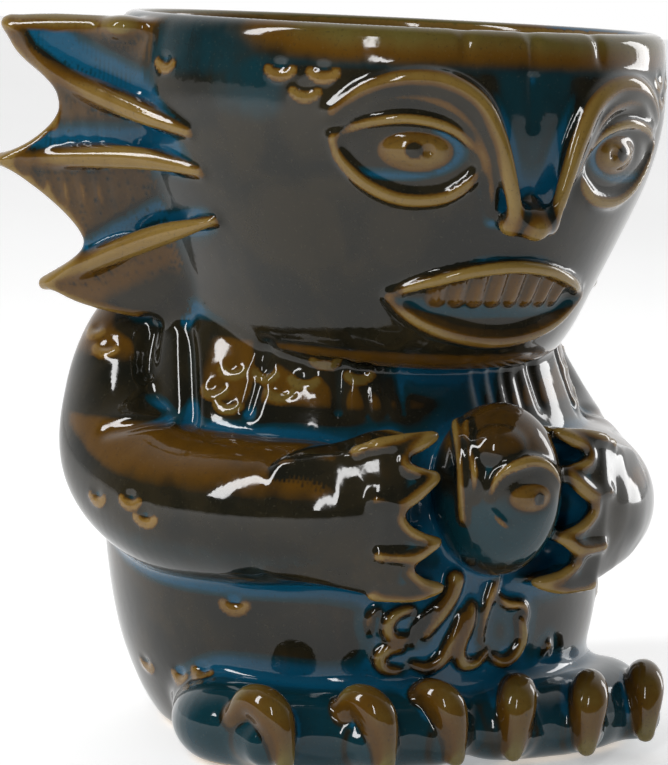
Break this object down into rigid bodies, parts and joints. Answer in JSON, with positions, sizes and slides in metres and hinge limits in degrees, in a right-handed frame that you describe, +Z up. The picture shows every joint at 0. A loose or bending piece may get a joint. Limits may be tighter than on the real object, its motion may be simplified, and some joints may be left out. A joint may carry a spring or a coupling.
{
  "type": "tiki mug",
  "caption": "Glazed drinking mug shaped as a crouching sea idol with scalloped ear fins and a frowning face, its webbed hands clasping an octopus above clawed feet.",
  "frame": {"origin": "centre of the flat base, on the table plane", "axes": "+Z up to the rim, -Y the way the face looks, +X towards the idol's left fin"},
  "size_m": [0.1478, 0.1166, 0.14],
  "materials": {
    "chest_scale": "glossy reactive glaze",
    "left_arm": "glossy reactive glaze",
    "left_brow": "glossy reactive glaze",
    "left_eyeball": "glossy reactive glaze",
    "left_fin_low_spine": "glossy reactive glaze",
    "left_fin_middle_spine": "glossy reactive glaze",
    "left_fin_top_spine": "glossy reactive glaze",
    "left_fin_web": "glossy reactive glaze",
    "left_foot": "glossy reactive glaze",
    "left_hand": "glossy reactive glaze",
    "left_index_finger": "glossy reactive glaze",
    "left_inner_claw": "glossy reactive glaze",
    "left_lid_fold": "glossy reactive glaze",
    "left_lower_finger": "glossy reactive glaze",
    "left_lower_lid": "glossy reactive glaze",
    "left_middle_claw": "glossy reactive glaze",
    "left_outer_claw": "glossy reactive glaze",
    "left_ring_finger": "glossy reactive glaze",
    "left_skirt_scale": "glossy reactive glaze",
    "left_upper_finger": "glossy reactive glaze",
    "left_upper_lid": "glossy reactive glaze",
    "lower_lip": "glossy reactive glaze",
    "nose": "glossy reactive glaze",
    "octopus_brow": "glossy reactive glaze",
    "octopus_crest": "glossy reactive glaze",
    "octopus_eye": "glossy reactive glaze",
    "octopus_head": "glossy reactive glaze",
    "right_arm": "glossy reactive glaze",
    "right_brow": "glossy reactive glaze",
    "right_brow_scale": "glossy reactive glaze",
    "right_eyeball": "glossy reactive glaze",
    "right_fin_low_spine": "glossy reactive glaze",
    "right_fin_middle_spine": "glossy reactive glaze",
    "right_fin_top_spine": "glossy reactive glaze",
    "right_fin_web": "glossy reactive glaze",
    "right_foot": "glossy reactive glaze",
    "right_hand": "glossy reactive glaze",
    "right_heel_scale": "glossy reactive glaze",
    "right_index_finger": "glossy reactive glaze",
    "right_inner_claw": "glossy reactive glaze",
    "right_lid_fold": "glossy reactive glaze",
    "right_lower_finger": "glossy reactive glaze",
    "right_lower_lid": "glossy reactive glaze",
    "right_middle_claw": "glossy reactive glaze",
    "right_outer_claw": "glossy reactive glaze",
    "right_ring_finger": "glossy reactive glaze",
    "right_skirt_scale": "glossy reactive glaze",
    "right_temple_scale": "glossy reactive glaze",
    "right_upper_finger": "glossy reactive glaze",
    "right_upper_lid": "glossy reactive glaze",
    "teeth": "glossy reactive glaze",
    "tentacle_1": "glossy reactive glaze",
    "tentacle_2": "glossy reactive glaze",
    "tentacle_3": "glossy reactive glaze",
    "tentacle_4": "glossy reactive glaze",
    "tentacle_5": "glossy reactive glaze",
    "tentacle_6": "glossy reactive glaze",
    "upper_lip": "glossy reactive glaze",
    "vessel_body": "glossy reactive glaze"
  },
  "bodies": {
    "root": {"chest_scale": "chest_scale", "left_arm": "left_arm", "left_brow": "left_brow", "left_eyeball": "left_eyeball", "left_fin_low_spine": "left_fin_low_spine", "left_fin_middle_spine": "left_fin_middle_spine", "left_fin_top_spine": "left_fin_top_spine", "left_fin_web": "left_fin_web", "left_foot": "left_foot", "left_hand": "left_hand", "left_index_finger": "left_index_finger", "left_inner_claw": "left_inner_claw", "left_lid_fold": "left_lid_fold", "left_lower_finger": "left_lower_finger", "left_lower_lid": "left_lower_lid", "left_middle_claw": "left_middle_claw", "left_outer_claw": "left_outer_claw", "left_ring_finger": "left_ring_finger", "left_skirt_scale": "left_skirt_scale", "left_upper_finger": "left_upper_finger", "left_upper_lid": "left_upper_lid", "lower_lip": "lower_lip", "nose": "nose", "octopus_brow": "octopus_brow", "octopus_crest": "octopus_crest", "octopus_eye": "octopus_eye", "octopus_head": "octopus_head", "right_arm": "right_arm", "right_brow": "right_brow", "right_brow_scale": "right_brow_scale", "right_eyeball": "right_eyeball", "right_fin_low_spine": "right_fin_low_spine", "right_fin_middle_spine": "right_fin_middle_spine", "right_fin_top_spine": "right_fin_top_spine", "right_fin_web": "right_fin_web", "right_foot": "right_foot", "right_hand": "right_hand", "right_heel_scale": "right_heel_scale", "right_index_finger": "right_index_finger", "right_inner_claw": "right_inner_claw", "right_lid_fold": "right_lid_fold", "right_lower_finger": "right_lower_finger", "right_lower_lid": "right_lower_lid", "right_middle_claw": "right_middle_claw", "right_outer_claw": "right_outer_claw", "right_ring_finger": "right_ring_finger", "right_skirt_scale": "right_skirt_scale", "right_temple_scale": "right_temple_scale", "right_upper_finger": "right_upper_finger", "right_upper_lid": "right_upper_lid", "teeth": "teeth", "tentacle_1": "tentacle_1", "tentacle_2": "tentacle_2", "tentacle_3": "tentacle_3", "tentacle_4": "tentacle_4", "tentacle_5": "tentacle_5", "tentacle_6": "tentacle_6", "upper_lip": "upper_lip", "vessel_body": "vessel_body"}
  },
  "joints": []
}
